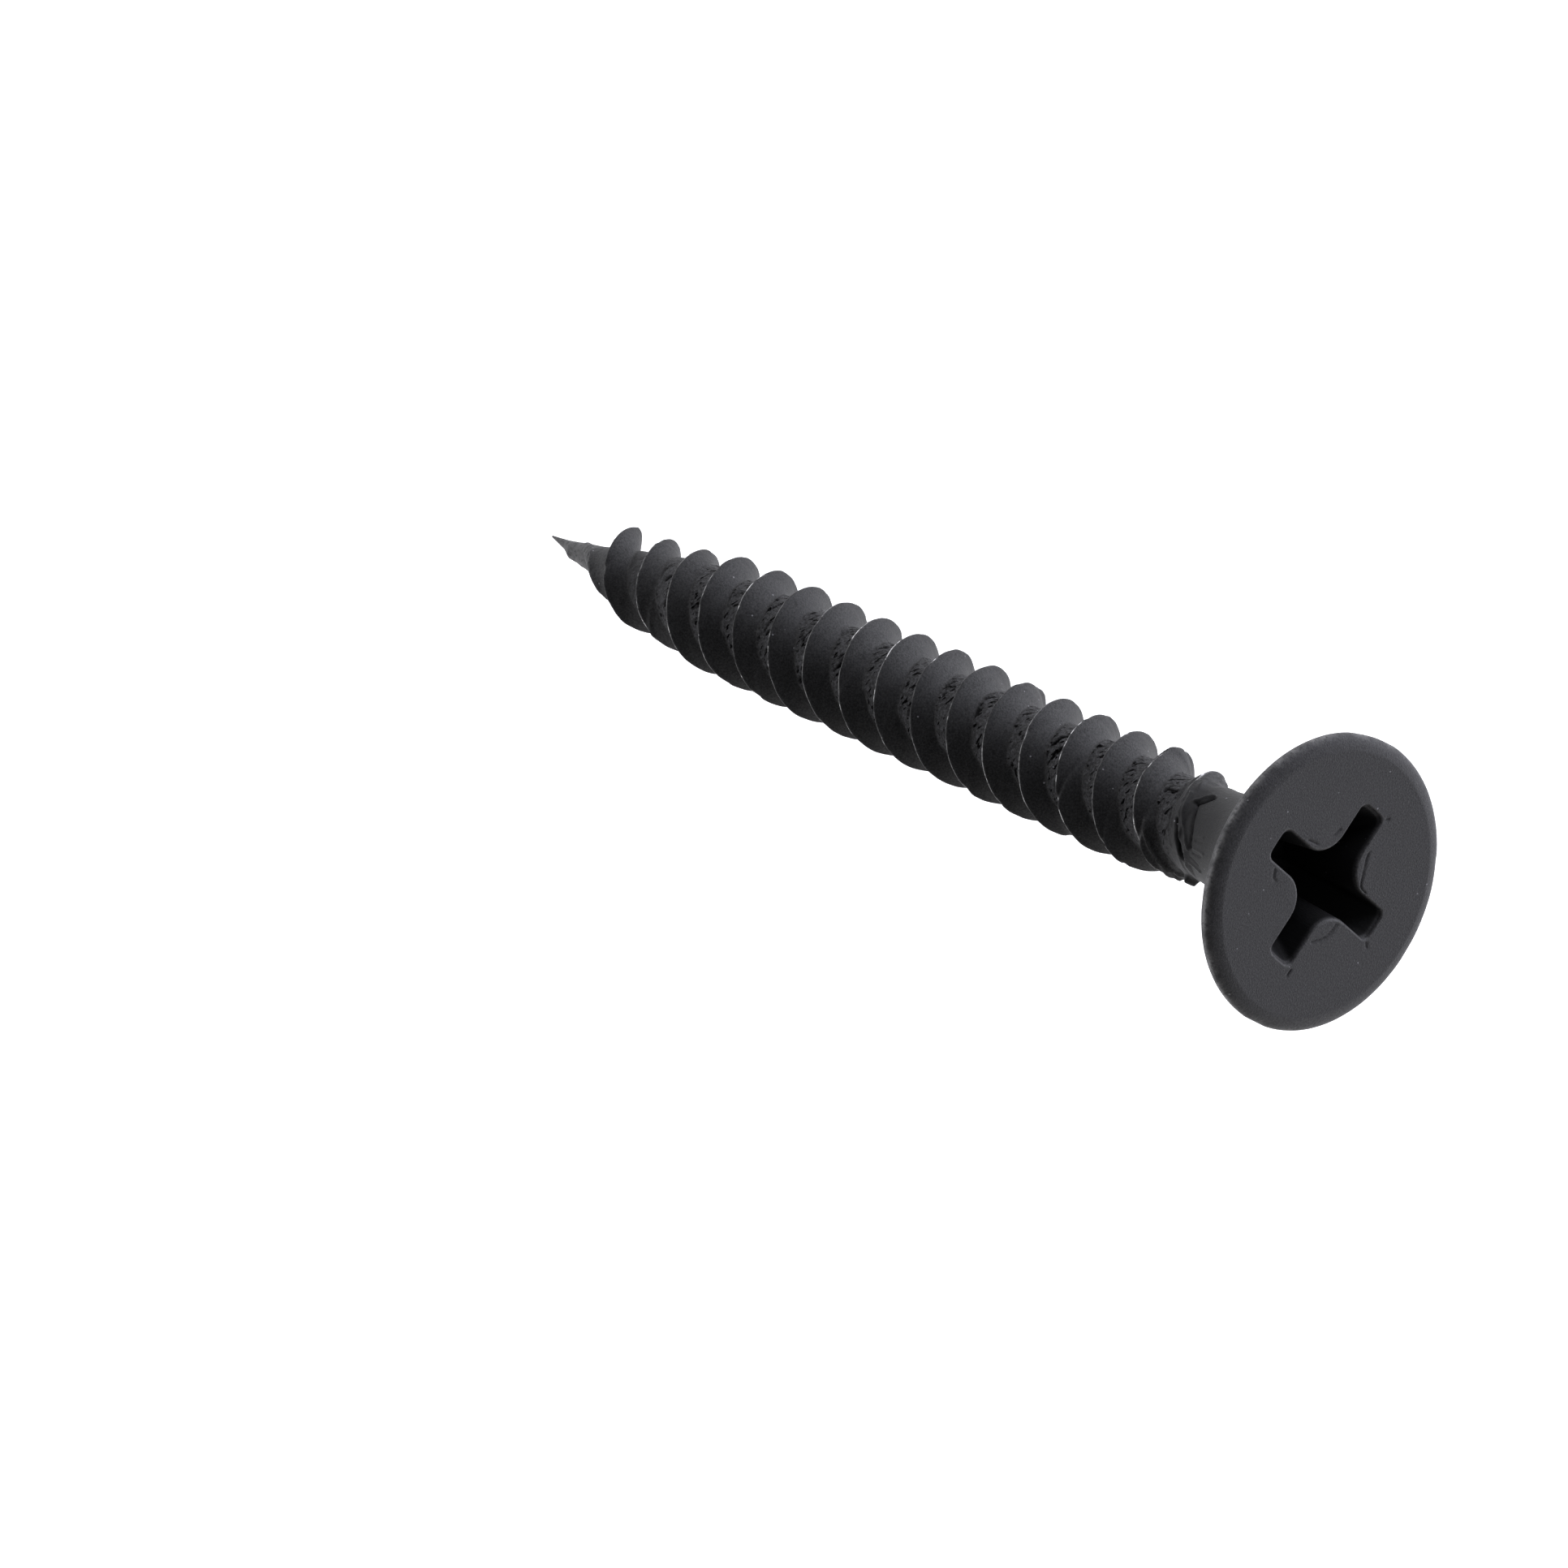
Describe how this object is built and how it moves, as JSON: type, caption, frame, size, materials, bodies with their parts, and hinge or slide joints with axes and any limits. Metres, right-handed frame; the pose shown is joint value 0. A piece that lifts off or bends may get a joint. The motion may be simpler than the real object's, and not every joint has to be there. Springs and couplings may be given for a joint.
{
  "type": "bugle-head screw",
  "caption": "Steel screw with a flat bugle head, a cross recess, a twin-start right-hand thread and a needle point, for board and wood.",
  "frame": {"origin": "centre of the head's flat top", "axes": "+Z along the screw's axis out of the head, so the point is at -Z; the wings of the cross recess lie along X and Y"},
  "size_m": [0.0084, 0.0084, 0.0345],
  "materials": {
    "phosphate_steel": "matt black phosphate coating on steel, smooth",
    "thread_flank": "matt black phosphate coating on rolled thread, crests worn to a grey line",
    "thread_root": "matt black phosphate coating on the torn, rough root between the threads"
  },
  "bodies": {
    "root": {"head": "phosphate_steel", "neck": "phosphate_steel", "core": "thread_root", "thread_a": "thread_flank", "thread_b": "thread_flank", "point": "thread_flank"}
  },
  "joints": []
}
